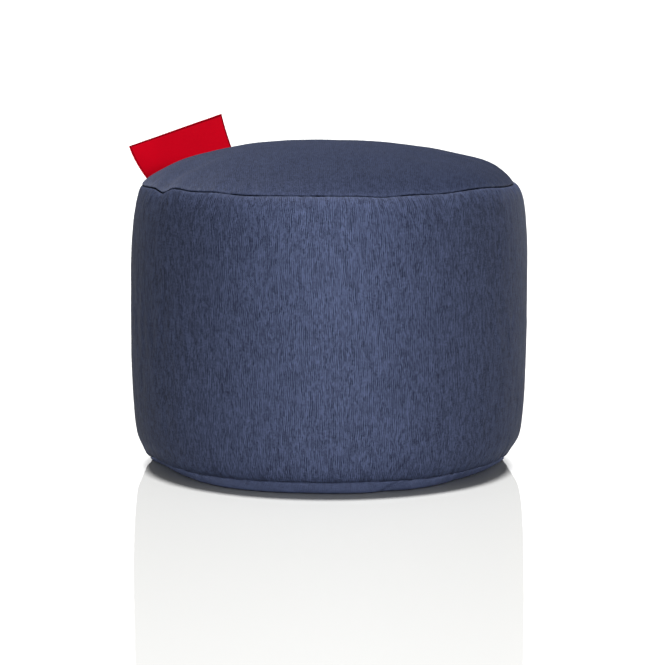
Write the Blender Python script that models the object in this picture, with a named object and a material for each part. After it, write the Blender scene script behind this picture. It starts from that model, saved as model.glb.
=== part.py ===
"""Round bean bag footstool: a filled canvas drum of three sewn panels, with a bare label in its top seam.

Metres, +Z up. The footstool stands on Z = 0, its axis is Z and its front faces -Y.
An azimuth is an angle round the axis in degrees: 0 is the front, 90 the right side, -90 the left side.
Every surface is a stack of rings round the axis, and each ring follows the uneven seam that it is sewn to.
"""

from collections import namedtuple
from math import cos, exp, hypot, radians, sin, sqrt

import bmesh
import bpy
from mathutils import Vector

# Driving sizes
BODY_RADIUS = 0.2500
WIDEST_SHARE = 0.60
TOP_SEAM_RADIUS = 0.2318
TOP_SEAM_HEIGHT = 0.3532
BOTTOM_SEAM_RADIUS = 0.2226
BOTTOM_SEAM_HEIGHT = 0.0136
CROWN_RISE = 0.0523
FOOT_RADIUS = 0.2195
FOOT_FORWARD = 0.0085
BOTTOM_SEAM_FORWARD = 0.00425

# Rounding of the side band: how sharply it turns in to each seam
SHOULDER_POWER = 3.5
HEEL_POWER = 12.0
HEEL_TAPER_SHARE = 0.31
HEEL_TAPER_POWER = 2.5

# Rounding of the crown: height share = (1 - radius share ** CROWN_POWER) ** CROWN_FULLNESS
CROWN_POWER = 2.2
CROWN_FULLNESS = 0.647

# Seams: the stitches pull both cloths in to a small groove, and the sewn pieces lie a hair apart
GROOVE_DEPTH = 0.0022
GROOVE_DROP = 0.0008
LIP_RISE = 0.0006
LIP_START = 0.50
PANEL_GAP = 0.0003

# How fast the unevenness fades: hollows towards a seam, the seam's waves towards the middle of the
# crown, and the crown's dents towards the seam
HOLLOW_FADE_POWER = 4
SEAM_WAVE_REACH_POWER = 6
DENT_FADE_POWER = 3

# Label: a folded tape, bare on both sides, that leans out of the top seam
LABEL_THICKNESS = 0.0016
LABEL_ROOT_OUT = 0.0006
LABEL_ROOT_UP = 0.0007
LABEL_START = -103.5
LABEL_END = -148.0
LABEL_TOP_START = Vector((-0.2577, 0.0800, 0.3945))
LABEL_TOP_END = Vector((-0.1438, 0.1980, 0.4312))
LABEL_CURL = 0.0030
LABEL_COLUMNS = 18
LABEL_ROWS = 6

# Mesh
COLUMNS = 108
SHARP_EDGE_DEGREES = 50.0
HEEL_ANGLES = (90, 78, 64, 48, 32, 16)
HEEL_SHARES = (0.62, 0.36)
SHOULDER_ANGLES = (14, 28, 42, 56, 68, 79, 90)
CROWN_ANGLES = (5, 11, 19, 28, 38, 50, 63, 77)
PARTITION_SHARES = (0.97, 0.90, 0.78)

Wave = namedtuple("Wave", "azimuth rise out half_width")
Dent = namedtuple("Dent", "x y depth half_width")
Hollow = namedtuple("Hollow", "azimuth share depth half_width half_height")
FootRow = namedtuple("FootRow", "toward_foot out height_share puckered")

# The top seam wanders as the beads settle: rise is up, out is away from the axis
TOP_SEAM_WAVES = (
    Wave(azimuth=-106, rise=-0.0035, out=0.0, half_width=10),
    Wave(azimuth=-95, rise=-0.0030, out=0.0030, half_width=24),
    Wave(azimuth=-60, rise=-0.0048, out=0.0, half_width=4),
    Wave(azimuth=-52, rise=0.0024, out=0.0, half_width=5),
    Wave(azimuth=-36, rise=0.0014, out=0.0, half_width=6),
    Wave(azimuth=-24, rise=-0.0008, out=0.0, half_width=8),
    Wave(azimuth=16, rise=-0.0019, out=0.0, half_width=6),
    Wave(azimuth=35, rise=-0.0006, out=0.0, half_width=6),
    Wave(azimuth=52, rise=0.0028, out=0.0, half_width=12),
    Wave(azimuth=96, rise=-0.0010, out=-0.0010, half_width=14),
    Wave(azimuth=108, rise=0.0045, out=0.0, half_width=12),
    Wave(azimuth=128, rise=0.0020, out=0.0, half_width=11),
    Wave(azimuth=168, rise=-0.0022, out=0.0, half_width=9),
    Wave(azimuth=-150, rise=0.0120, out=-0.0010, half_width=24),
)

# The bottom seam is lower at the sides, where the drum leans out most over its foot
BOTTOM_SEAM_WAVES = (
    Wave(azimuth=-90, rise=-0.0082, out=0.0050, half_width=10),
    Wave(azimuth=-66, rise=-0.0016, out=-0.0035, half_width=12),
    Wave(azimuth=-43, rise=-0.0019, out=0.0, half_width=12),
    Wave(azimuth=-25, rise=-0.0004, out=0.0, half_width=6),
    Wave(azimuth=10, rise=0.0006, out=0.0, half_width=6),
    Wave(azimuth=32, rise=-0.0008, out=0.0, half_width=8),
    Wave(azimuth=50, rise=0.0004, out=0.0, half_width=8),
    Wave(azimuth=74, rise=-0.0015, out=-0.0045, half_width=12),
    Wave(azimuth=90, rise=-0.0082, out=0.0013, half_width=10),
    Wave(azimuth=135, rise=0.0010, out=0.0, half_width=12),
    Wave(azimuth=-145, rise=-0.0010, out=0.0, half_width=14),
)

# Shape and puckers of the bottom panel's rim: out swells it, rise lifts the cloth off the floor
FOOT_WAVES = (
    Wave(azimuth=-66, rise=0.0, out=-0.0130, half_width=22),
    Wave(azimuth=-52, rise=0.0006, out=-0.0006, half_width=4),
    Wave(azimuth=-28, rise=0.0, out=0.0016, half_width=9),
    Wave(azimuth=-6, rise=0.0004, out=-0.0010, half_width=5),
    Wave(azimuth=10, rise=0.0, out=0.0012, half_width=4),
    Wave(azimuth=18, rise=0.0012, out=-0.0026, half_width=3),
    Wave(azimuth=30, rise=0.0, out=0.0016, half_width=7),
    Wave(azimuth=47, rise=0.0006, out=-0.0010, half_width=5),
    Wave(azimuth=58, rise=0.0, out=-0.0145, half_width=28),
    Wave(azimuth=95, rise=0.0005, out=-0.0014, half_width=5),
    Wave(azimuth=121, rise=0.0006, out=-0.0020, half_width=4),
    Wave(azimuth=160, rise=0.0008, out=-0.0018, half_width=4),
    Wave(azimuth=-165, rise=0.0005, out=-0.0014, half_width=5),
    Wave(azimuth=-124, rise=0.0007, out=-0.0020, half_width=4),
    Wave(azimuth=-92, rise=0.0005, out=-0.0014, half_width=5),
)

# Section of that rim, from under the seam down to where the cloth lies on the floor
FOOT_ROWS = (
    FootRow(toward_foot=0.10, out=0.0006, height_share=0.88, puckered=0.3),
    FootRow(toward_foot=0.40, out=0.0014, height_share=0.60, puckered=1.0),
    FootRow(toward_foot=0.75, out=0.0012, height_share=0.28, puckered=1.0),
    FootRow(toward_foot=1.00, out=-0.0006, height_share=0.06, puckered=0.4),
    FootRow(toward_foot=1.00, out=-0.0045, height_share=0.0, puckered=0.0),
)

# Shallow dents of the crown
CROWN_DENTS = (
    Dent(x=0.048, y=-0.160, depth=0.0030, half_width=0.034),
    Dent(x=-0.030, y=-0.172, depth=0.0020, half_width=0.026),
    Dent(x=-0.172, y=-0.080, depth=0.0022, half_width=0.024),
    Dent(x=0.120, y=-0.092, depth=0.0022, half_width=0.036),
    Dent(x=-0.086, y=-0.070, depth=-0.0015, half_width=0.050),
    Dent(x=0.095, y=0.110, depth=0.0025, half_width=0.045),
    Dent(x=-0.085, y=0.075, depth=-0.0016, half_width=0.055),
    Dent(x=-0.220, y=0.030, depth=0.0028, half_width=0.020),
    Dent(x=0.212, y=0.020, depth=-0.0040, half_width=0.028),
)

# Broad hollows and swells of the side, share being the height between the seams
SIDE_HOLLOWS = (
    Hollow(azimuth=-90, share=0.98, depth=0.0028, half_width=28, half_height=0.20),
    Hollow(azimuth=-90, share=0.32, depth=-0.0010, half_width=30, half_height=0.14),
    Hollow(azimuth=85, share=1.00, depth=-0.0015, half_width=25, half_height=0.09),
    Hollow(azimuth=-90, share=0.03, depth=0.0036, half_width=22, half_height=0.04),
    Hollow(azimuth=90, share=0.02, depth=0.0062, half_width=24, half_height=0.045),
    Hollow(azimuth=-48, share=0.86, depth=0.0016, half_width=9, half_height=0.12),
    Hollow(azimuth=-20, share=0.30, depth=0.0014, half_width=16, half_height=0.22),
    Hollow(azimuth=22, share=0.72, depth=0.0016, half_width=14, half_height=0.26),
    Hollow(azimuth=48, share=0.84, depth=0.0018, half_width=9, half_height=0.14),
    Hollow(azimuth=40, share=0.22, depth=0.0014, half_width=12, half_height=0.16),
    Hollow(azimuth=118, share=0.55, depth=0.0022, half_width=18, half_height=0.30),
    Hollow(azimuth=172, share=0.40, depth=0.0022, half_width=20, half_height=0.28),
    Hollow(azimuth=-128, share=0.62, depth=0.0020, half_width=18, half_height=0.26),
)

# Finishes: linear colour and roughness
CANVAS_COLOR = (0.066, 0.082, 0.138, 1.0)
CANVAS_ROUGHNESS = 0.90
LABEL_COLOR = (0.610, 0.002, 0.012, 1.0)
LABEL_ROUGHNESS = 0.60


def azimuths():
    """The azimuth of each column of points."""
    return [360.0 * column / COLUMNS for column in range(COLUMNS)]


def bump(azimuth, centre, half_width):
    """A smooth hump round the drum: 1 at its centre, nearly nothing two half-widths away."""
    away = (azimuth - centre + 180.0) % 360.0 - 180.0
    return exp(-((away / half_width) ** 2))


def wave_sums(azimuth, waves):
    """(out, rise) that a table of waves adds at one azimuth."""
    out = sum(wave.out * bump(azimuth, wave.azimuth, wave.half_width) for wave in waves)
    rise = sum(wave.rise * bump(azimuth, wave.azimuth, wave.half_width) for wave in waves)
    return out, rise


def top_seam(azimuth):
    """(radius, height) where the side band and the top panel come together."""
    out, rise = wave_sums(azimuth, TOP_SEAM_WAVES)
    return TOP_SEAM_RADIUS + out, TOP_SEAM_HEIGHT + rise


def bottom_seam(azimuth):
    """(radius, height) where the side band and the bottom panel come together."""
    out, rise = wave_sums(azimuth, BOTTOM_SEAM_WAVES)
    forward = BOTTOM_SEAM_FORWARD * cos(radians(azimuth))
    return BOTTOM_SEAM_RADIUS + forward + out, BOTTOM_SEAM_HEIGHT + rise


def on_ring(azimuth, radius, height):
    """The point at this azimuth, radius and height."""
    angle = radians(azimuth)
    return Vector((radius * sin(angle), -radius * cos(angle), height))


def top_groove(azimuth):
    """(radius, height) of the bottom of the top seam's groove."""
    radius, height = top_seam(azimuth)
    return radius - GROOVE_DEPTH, height - GROOVE_DROP


def bottom_groove(azimuth):
    """(radius, height) of the bottom of the bottom seam's groove."""
    radius, height = bottom_seam(azimuth)
    return radius - GROOVE_DEPTH, height


def partition_rings(groove, level, offset):
    """Rings from a seam's groove in to the axis: the face where two filled panels meet inside.

    The face follows the seam's waves at its rim and is flat at this level further in.
    """
    rings = [[on_ring(azimuth, *groove(azimuth)) for azimuth in azimuths()]]
    for index, share in enumerate(PARTITION_SHARES):
        flat = (index + 1) / len(PARTITION_SHARES)
        ring = []
        for azimuth in azimuths():
            radius, height = groove(azimuth)
            ring.append(on_ring(azimuth, radius * share, height + (level - height) * flat))
        rings.append(ring)
    return [[point + Vector((0.0, 0.0, offset)) for point in ring] for ring in rings]


def hollow_depth(azimuth, share):
    """How far the side's hollows draw the band in at one place."""
    return sum(
        hollow.depth
        * bump(azimuth, hollow.azimuth, hollow.half_width)
        * exp(-(((share - hollow.share) / hollow.half_height) ** 2))
        for hollow in SIDE_HOLLOWS
    )


def band_ring(share, drop_in_top, drop_in_bottom):
    """One ring of the side band, at a share of the height between the seams."""
    ring = []
    for azimuth in azimuths():
        top_radius, top_height = top_seam(azimuth)
        bottom_radius, bottom_height = bottom_seam(azimuth)
        radius = BODY_RADIUS - (BODY_RADIUS - top_radius) * drop_in_top
        radius -= (BODY_RADIUS - bottom_radius) * drop_in_bottom
        near_seam = max(drop_in_top, drop_in_bottom) ** HOLLOW_FADE_POWER
        radius -= hollow_depth(azimuth, share) * (1.0 - near_seam)
        height = bottom_height + (top_height - bottom_height) * share
        lip = LIP_RISE if LIP_START < drop_in_top < 1.0 else 0.0
        ring.append(on_ring(azimuth, radius, height + lip))
    return ring


def heel_share(turn):
    """Height share of the band at this turn of its lower edge, 90 degrees being the seam."""
    return WIDEST_SHARE * (1.0 - sin(radians(turn)) ** (2.0 / HEEL_POWER))


def heel_drop(share):
    """How much of the way in to the bottom seam the band has come at this height share."""
    below = (WIDEST_SHARE - share) / WIDEST_SHARE
    taper = HEEL_TAPER_SHARE * below**HEEL_TAPER_POWER
    roll = (1.0 - HEEL_TAPER_SHARE) * (1.0 - sqrt(max(0.0, 1.0 - below**HEEL_POWER)))
    return taper + roll


def band_rings():
    """The side band's outer rings, from the bottom seam up to the top seam."""
    rings = []
    for turn in HEEL_ANGLES:
        share = heel_share(turn)
        rings.append(band_ring(share, 0.0, heel_drop(share)))
    for below in HEEL_SHARES:
        share = WIDEST_SHARE * (1.0 - below)
        rings.append(band_ring(share, 0.0, heel_drop(share)))
    rings.append(band_ring(WIDEST_SHARE, 0.0, 0.0))
    for turn in SHOULDER_ANGLES:
        above = sin(radians(turn)) ** (2.0 / SHOULDER_POWER)
        share = WIDEST_SHARE + (1.0 - WIDEST_SHARE) * above
        rings.append(band_ring(share, 1.0 - cos(radians(turn)), 0.0))
    return rings


def dent_depth(x, y):
    """How far the crown's dents lower it at one place."""
    return sum(
        dent.depth * exp(-(hypot(x - dent.x, y - dent.y) / dent.half_width) ** 2)
        for dent in CROWN_DENTS
    )


def crown_rings():
    """The top panel's outer rings, from just above the top seam in towards the middle."""
    rings = []
    for turn in CROWN_ANGLES:
        radius_share = cos(radians(turn)) ** (2.0 / CROWN_POWER)
        height_share = sin(radians(turn)) ** (2.0 * CROWN_FULLNESS)
        follow_seam = radius_share**SEAM_WAVE_REACH_POWER
        ring = []
        for azimuth in azimuths():
            radius, seam_height = top_seam(azimuth)
            base = TOP_SEAM_HEIGHT + (seam_height - TOP_SEAM_HEIGHT) * follow_seam
            radius = TOP_SEAM_RADIUS * radius_share + (radius - TOP_SEAM_RADIUS) * follow_seam
            point = on_ring(azimuth, radius, base + CROWN_RISE * height_share)
            point.z -= dent_depth(point.x, point.y) * (1.0 - follow_seam**DENT_FADE_POWER)
            ring.append(point)
        rings.append(ring)
    return rings


def foot_rings():
    """The bottom panel's rim: a soft roll from under the bottom seam down to the floor."""
    rings = []
    for row in FOOT_ROWS:
        ring = []
        for azimuth in azimuths():
            seam_radius, seam_height = bottom_seam(azimuth)
            out, rise = wave_sums(azimuth, FOOT_WAVES)
            foot_radius = FOOT_RADIUS + FOOT_FORWARD * cos(radians(azimuth)) + out
            radius = seam_radius + (foot_radius - seam_radius) * row.toward_foot + row.out
            height = seam_height * row.height_share + rise * row.puckered
            ring.append(on_ring(azimuth, radius, height))
        rings.append(ring)
    return rings


def add_rings(bm, rings):
    """Adds rings of points to the mesh."""
    return [[bm.verts.new(point) for point in ring] for ring in rings]


def bridge(bm, rings):
    """Joins each ring of points to the next with four-sided faces, all split along the same diagonal."""
    for lower, upper in zip(rings, rings[1:]):
        for index in range(len(lower)):
            beyond = (index + 1) % len(lower)
            bm.faces.new((lower[index], lower[beyond], upper[beyond], upper[index]))


def fan(bm, ring, height):
    """Closes a ring of points with triangles to one point on the axis."""
    middle = bm.verts.new((0.0, 0.0, height))
    for index in range(len(ring)):
        bm.faces.new((ring[index], ring[(index + 1) % len(ring)], middle))


def plain_material(name, color, roughness):
    """A matt cloth finish."""
    material = bpy.data.materials.new(name)
    material.use_nodes = True
    surface = material.node_tree.nodes["Principled BSDF"]
    surface.inputs["Base Color"].default_value = color
    surface.inputs["Roughness"].default_value = roughness
    surface.inputs["Metallic"].default_value = 0.0
    return material


def canvas(name):
    """Navy canvas."""
    return plain_material(name + "_canvas", CANVAS_COLOR, CANVAS_ROUGHNESS)


def add_object(name, bm, material, origin, parent):
    """Turns a closed mesh, built in the footstool's frame, into a smooth object with its own origin."""
    bmesh.ops.recalc_face_normals(bm, faces=bm.faces)
    bmesh.ops.translate(bm, verts=bm.verts, vec=-origin)
    mesh = bpy.data.meshes.new(name)
    bm.to_mesh(mesh)
    bm.free()
    mesh.materials.append(material)
    mesh.shade_smooth()
    mesh.set_sharp_from_angle(angle=radians(SHARP_EDGE_DEGREES))
    piece = bpy.data.objects.new(name, mesh)
    piece.location = origin
    piece.parent = parent
    bpy.context.scene.collection.objects.link(piece)
    return piece


def make_side_band(parent):
    """The filled drum between the seams."""
    bm = bmesh.new()
    lower = partition_rings(bottom_groove, BOTTOM_SEAM_HEIGHT, PANEL_GAP / 2)
    upper = partition_rings(top_groove, TOP_SEAM_HEIGHT, -PANEL_GAP / 2)
    rings = add_rings(bm, lower[::-1] + band_rings() + upper)
    bridge(bm, rings)
    fan(bm, rings[0], BOTTOM_SEAM_HEIGHT + PANEL_GAP / 2)
    fan(bm, rings[-1], TOP_SEAM_HEIGHT - PANEL_GAP / 2)
    origin = Vector((0.0, 0.0, BOTTOM_SEAM_HEIGHT))
    add_object("side_band", bm, canvas("side_band"), origin, parent)


def make_top_panel(parent):
    """The crown above the top seam, its underside split along the same diagonals as the band's top."""
    bm = bmesh.new()
    under = partition_rings(top_groove, TOP_SEAM_HEIGHT, PANEL_GAP / 2)
    rings = add_rings(bm, crown_rings()[::-1] + under)
    bridge(bm, rings)
    fan(bm, rings[0], TOP_SEAM_HEIGHT + CROWN_RISE - dent_depth(0.0, 0.0))
    fan(bm, rings[-1], TOP_SEAM_HEIGHT + PANEL_GAP / 2)
    origin = Vector((0.0, 0.0, TOP_SEAM_HEIGHT))
    add_object("top_panel", bm, canvas("top_panel"), origin, parent)


def make_bottom_panel(parent):
    """The shallow base below the bottom seam, flat where it rests."""
    bm = bmesh.new()
    over = partition_rings(bottom_groove, BOTTOM_SEAM_HEIGHT, -PANEL_GAP / 2)
    rings = add_rings(bm, over[::-1] + foot_rings())
    bridge(bm, rings)
    fan(bm, rings[0], BOTTOM_SEAM_HEIGHT - PANEL_GAP / 2)
    bm.faces.new(rings[-1])
    origin = Vector((0.0, 0.0, 0.0))
    add_object("bottom_panel", bm, canvas("bottom_panel"), origin, parent)


def label_point(along, up):
    """A point of the label's middle surface: along runs with the seam, up from the seam to the free edge."""
    azimuth = LABEL_START + (LABEL_END - LABEL_START) * along
    radius, height = top_seam(azimuth)
    root = on_ring(azimuth, radius + LABEL_ROOT_OUT, height + LABEL_ROOT_UP)
    free = LABEL_TOP_START.lerp(LABEL_TOP_END, along)
    outward = on_ring(azimuth, 1.0, 0.0)
    curl = 4.0 * up * (1.0 - up) * LABEL_CURL
    return root.lerp(free, up) + outward * curl


def make_label(parent):
    """The label, a thin sheet that stands in the groove of the top seam."""
    bm = bmesh.new()
    rows = []
    for row in range(LABEL_ROWS + 1):
        up = row / LABEL_ROWS
        points = [label_point(column / LABEL_COLUMNS, up) for column in range(LABEL_COLUMNS + 1)]
        rows.append([bm.verts.new(point) for point in points])
    for lower, upper in zip(rows, rows[1:]):
        for index in range(LABEL_COLUMNS):
            bm.faces.new((lower[index], lower[index + 1], upper[index + 1], upper[index]))
    material = plain_material("label_tape", LABEL_COLOR, LABEL_ROUGHNESS)
    label = add_object("label_tag", bm, material, label_point(0.5, 0.0), parent)
    cloth = label.modifiers.new("cloth thickness", "SOLIDIFY")
    cloth.thickness = LABEL_THICKNESS
    cloth.offset = 0.0
    cloth.use_even_offset = True


def main():
    for old in list(bpy.data.objects):
        bpy.data.objects.remove(old, do_unlink=True)
    footstool = bpy.data.objects.new("footstool", None)
    bpy.context.scene.collection.objects.link(footstool)
    make_bottom_panel(footstool)
    make_side_band(footstool)
    make_top_panel(footstool)
    make_label(footstool)


main()
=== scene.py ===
"""Looks of the round bean bag footstool: fine canvas panels, a bare red label and a white studio.

Metres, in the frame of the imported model: +Z is up, the front faces -Y and the footstool stands on Z = 0.
An azimuth is an angle round the axis in degrees: 0 is the front, 90 the right side, -90 the left side.
The sizes and tables of the shape repeat those of the solids, so each cloth lies where its solid is.
Each panel is a stack of rings of points round the axis, held as an array of shape (rows, columns, 3).
"""

from math import pi, radians

import bpy
import numpy as np
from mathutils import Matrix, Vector


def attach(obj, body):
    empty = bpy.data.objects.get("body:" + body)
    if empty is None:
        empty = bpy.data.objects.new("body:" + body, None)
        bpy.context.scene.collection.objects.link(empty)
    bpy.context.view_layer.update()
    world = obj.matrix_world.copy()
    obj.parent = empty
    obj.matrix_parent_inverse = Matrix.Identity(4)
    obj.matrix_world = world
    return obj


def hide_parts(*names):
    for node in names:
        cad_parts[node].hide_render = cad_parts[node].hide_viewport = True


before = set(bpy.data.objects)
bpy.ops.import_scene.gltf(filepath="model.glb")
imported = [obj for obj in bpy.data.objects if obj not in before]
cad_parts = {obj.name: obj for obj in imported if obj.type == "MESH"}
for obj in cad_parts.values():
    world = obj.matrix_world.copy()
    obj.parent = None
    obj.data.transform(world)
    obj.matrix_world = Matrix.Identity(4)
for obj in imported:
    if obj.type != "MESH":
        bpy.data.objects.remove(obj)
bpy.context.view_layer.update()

# -------- the shape, as in the solids

BODY_RADIUS = 0.2500
WIDEST_SHARE = 0.60
TOP_SEAM_RADIUS = 0.2318
TOP_SEAM_HEIGHT = 0.3532
BOTTOM_SEAM_RADIUS = 0.2226
BOTTOM_SEAM_HEIGHT = 0.0136
BOTTOM_SEAM_FORWARD = 0.00425
CROWN_RISE = 0.0523
FOOT_RADIUS = 0.2195
FOOT_FORWARD = 0.0085

SHOULDER_POWER = 3.5
HEEL_POWER = 12.0
HEEL_TAPER_SHARE = 0.31
HEEL_TAPER_POWER = 2.5
CROWN_POWER = 2.2
CROWN_FULLNESS = 0.647
HOLLOW_FADE_POWER = 4
SEAM_WAVE_REACH_POWER = 6
DENT_FADE_POWER = 3

# Waves of a seam or rim: azimuth, rise, out, half-width in degrees
TOP_SEAM_WAVES = (
    (-106, -0.0035, 0.0, 10),
    (-95, -0.0030, 0.0030, 24),
    (-60, -0.0048, 0.0, 4),
    (-52, 0.0024, 0.0, 5),
    (-36, 0.0014, 0.0, 6),
    (-24, -0.0008, 0.0, 8),
    (16, -0.0019, 0.0, 6),
    (35, -0.0006, 0.0, 6),
    (52, 0.0028, 0.0, 12),
    (96, -0.0010, -0.0010, 14),
    (108, 0.0045, 0.0, 12),
    (128, 0.0020, 0.0, 11),
    (168, -0.0022, 0.0, 9),
    (-150, 0.0120, -0.0010, 24),
)
BOTTOM_SEAM_WAVES = (
    (-90, -0.0082, 0.0050, 10),
    (-66, -0.0016, -0.0035, 12),
    (-43, -0.0019, 0.0, 12),
    (-25, -0.0004, 0.0, 6),
    (10, 0.0006, 0.0, 6),
    (32, -0.0008, 0.0, 8),
    (50, 0.0004, 0.0, 8),
    (74, -0.0015, -0.0045, 12),
    (90, -0.0082, 0.0013, 10),
    (135, 0.0010, 0.0, 12),
    (-145, -0.0010, 0.0, 14),
)
FOOT_WAVES = (
    (-66, 0.0, -0.0130, 22),
    (-52, 0.0006, -0.0006, 4),
    (-28, 0.0, 0.0016, 9),
    (-6, 0.0004, -0.0010, 5),
    (10, 0.0, 0.0012, 4),
    (18, 0.0012, -0.0026, 3),
    (30, 0.0, 0.0016, 7),
    (47, 0.0006, -0.0010, 5),
    (58, 0.0, -0.0145, 28),
    (95, 0.0005, -0.0014, 5),
    (121, 0.0006, -0.0020, 4),
    (160, 0.0008, -0.0018, 4),
    (-165, 0.0005, -0.0014, 5),
    (-124, 0.0007, -0.0020, 4),
    (-92, 0.0005, -0.0014, 5),
)

# Section of the bottom panel's rim from the seam to the floor: toward foot, out, height share, puckered
FOOT_SECTION = (
    (0.00, 0.0000, 1.00, 0.0),
    (0.10, 0.0006, 0.88, 0.3),
    (0.40, 0.0014, 0.60, 1.0),
    (0.75, 0.0012, 0.28, 1.0),
    (1.00, -0.0006, 0.06, 0.4),
    (1.00, -0.0045, 0.00, 0.0),
)

# Shallow dents of the crown: x, y, depth, half-width
CROWN_DENTS = (
    (0.048, -0.160, 0.0030, 0.034),
    (-0.030, -0.172, 0.0020, 0.026),
    (-0.172, -0.080, 0.0022, 0.024),
    (0.120, -0.092, 0.0022, 0.036),
    (-0.086, -0.070, -0.0015, 0.050),
    (0.095, 0.110, 0.0025, 0.045),
    (-0.085, 0.075, -0.0016, 0.055),
    (-0.220, 0.030, 0.0028, 0.020),
    (0.212, 0.020, -0.0040, 0.028),
)

# Hollows of the side: azimuth, share of the height, depth, half-width in degrees, half-height
SIDE_HOLLOWS = (
    (-90, 0.98, 0.0028, 28, 0.20),
    (-90, 0.32, -0.0010, 30, 0.14),
    (85, 1.00, -0.0015, 25, 0.09),
    (-90, 0.03, 0.0036, 22, 0.04),
    (90, 0.02, 0.0062, 24, 0.045),
    (-48, 0.86, 0.0016, 9, 0.12),
    (-20, 0.30, 0.0014, 16, 0.22),
    (22, 0.72, 0.0016, 14, 0.26),
    (48, 0.84, 0.0018, 9, 0.14),
    (40, 0.22, 0.0014, 12, 0.16),
    (118, 0.55, 0.0022, 18, 0.30),
    (172, 0.40, 0.0022, 20, 0.28),
    (-128, 0.62, 0.0020, 18, 0.26),
)

LABEL_THICKNESS = 0.0016
LABEL_ROOT_OUT = 0.0006
LABEL_ROOT_UP = 0.0007
LABEL_START = -103.5
LABEL_END = -148.0
LABEL_TOP_START = Vector((-0.2577, 0.0800, 0.3945))
LABEL_TOP_END = Vector((-0.1438, 0.1980, 0.4312))
LABEL_CURL = 0.0030

# -------- fine shape of the cloth

COLUMNS = 960
SIM_COLUMNS = 480
FINEST_ROW = 0.0004
ROW_GROWTH = 0.11
BAND_ROW = 0.0056
CROWN_ROW = 0.0060
SEAM_GAP = 0.0003
GROOVE_IN = 0.0026
GROOVE_DOWN = 0.0010
SEAM_ROLL = 0.0009
SPACING_STEPS = 4000
FOOT_ROWS = 31
PARTITION_SHARES = (0.97, 0.90, 0.55, 0.20)
UNDER_SHARES = (0.03, 0.25, 0.55, 0.80, 0.93, 0.98)
WORN_RIDGE = 0.0030
# Painted shade down in the seams' grooves: its strength, its usual reach, and its wider reach at the foot of
# the side band
GROOVE_SHADE_DEPTH = 1.1
GROOVE_SHADE_REACH = 0.0008
BAND_BOTTOM_SHADE_REACH = 0.0024
BAKE_MARGIN = 0.004
BAKE_FAN = 0.006
BAKE_HIDDEN = 0.15

# Shares of the simulated ripples, and the distances over which they and the relief fade near a seam
BAND_RIPPLES = 0.35
CROWN_RIPPLES = 0.06
CROWN_SEAM_RIPPLES = 0.28
CROWN_SEAM_REACH = 0.018
CLEAR_OF_SEAM = 0.006
CROWN_RIDGE = 0.0005
CROWN_RIDGE_AT = 0.0022
CROWN_LIFT_REACH = 0.002

# Seeded relief: seed, size, shortest, longest, and the height of a streak or the reach of a seam's puckers
BAND_STREAKS = (
    (11, 0.00010, 0.006, 0.014, 0.030),
    (12, 0.00013, 0.014, 0.050, 0.070),
)
BAND_TOP_PUCKERS = (13, 0.00030, 0.008, 0.024, 0.010)
BAND_BOTTOM_PUCKERS = (14, 0.00030, 0.009, 0.030, 0.014)
CROWN_PUCKERS = (22, 0.00030, 0.008, 0.026, 0.010)
CROWN_QUILT = (21, 0.00045, 0.045, 0.110)
FOOT_UNEVEN = (31, 0.0006, 0.016, 0.060)

# Where the stitches pull the top seam in: from and to azimuth, strength
TOP_STITCHES = (
    (-86, -50, 1.0), (-50, -34, 0.55), (-29.5, -20.7, 0.8), (-20.7, -12.8, 0.25),
    (-9, -7.5, 0.7), (-4.6, -1.2, 1.0), (0, 17.9, 0.22), (21.5, 26.5, 1.0),
    (26.5, 31.6, 0.5), (34.9, 38.2, 0.6), (39, 43.6, 0.4), (43.6, 51, 0.95),
    (51, 58.9, 0.6), (59.4, 65, 0.95), (65, 84, 0.8), (95, 112, 0.7),
    (118, 124, 0.4), (128, 140, 0.8), (146, 158, 0.6), (164, 180, 0.8),
    (188, 200, 0.5), (206, 216, 0.8), (222, 232, 0.6), (238, 252, 0.8),
    (258, 268, 0.6),
)

# The same for the bottom seam
BOTTOM_STITCHES = (
    (-84, -72, 0.6), (-61.6, -58.9, 0.8), (-53, -50.5, 0.7), (-48.5, -40.8, 0.9),
    (-36.2, -26.3, 0.9), (-23.8, -18.9, 0.7), (-14.9, -10.2, 0.6), (-5, 2.5, 0.4),
    (6.4, 13, 0.5), (15.7, 18.4, 0.7), (19, 26, 1.15), (30.5, 36.8, 1.15),
    (42.2, 51.7, 0.8), (64, 70.7, 1.0), (76, 88, 0.6), (96, 108, 0.8),
    (112, 121, 0.6), (127, 140, 0.9), (146, 154, 0.7), (161, 176, 0.9),
    (182, 190, 0.6), (198, 211, 0.9), (219, 228, 0.7), (234, 247, 0.9),
    (254, 268, 0.7),
)
STITCH_END = 0.6
LOOSE_PULL = 0.12
UNEVEN_PULL = 0.28

# Where the rim of the bottom panel puffs out beyond the solid: azimuth, out, half-width
FOOT_PUFFS = (
    (-90, 0.0105, 9),
    (90, 0.0050, 9),
)

# Creases across the rim of the bottom panel: azimuth at the seam, lean to the floor, depth, half-width
FOOT_FOLDS = (
    (24, -9, 0.0022, 1.3),
    (12, 3, 0.0012, 1.2),
    (-13, 4, 0.0010, 1.6),
    (-46, 5, 0.0014, 1.8),
    (52, -6, 0.0014, 1.6),
    (118, -7, 0.0018, 2.0),
    (170, 6, 0.0016, 2.0),
    (-128, -6, 0.0018, 2.0),
)

# Pulls of the threads just under the top seam: azimuth, sideways shift at the seam, half-width
THREAD_PULLS = (
    (-31, -0.0060, 10),
    (-52, 0.0050, 8),
    (20, 0.0080, 14),
    (62, 0.0030, 12),
    (-78, 0.0030, 14),
    (115, -0.0050, 16),
    (165, 0.0060, 14),
    (-140, 0.0050, 18),
)
THREAD_PULL_REACH = 0.028


def bump(azimuth, centre, half_width):
    """A smooth hump round the drum."""
    away = (azimuth - centre + 180.0) % 360.0 - 180.0
    return np.exp(-((away / half_width) ** 2))


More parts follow.
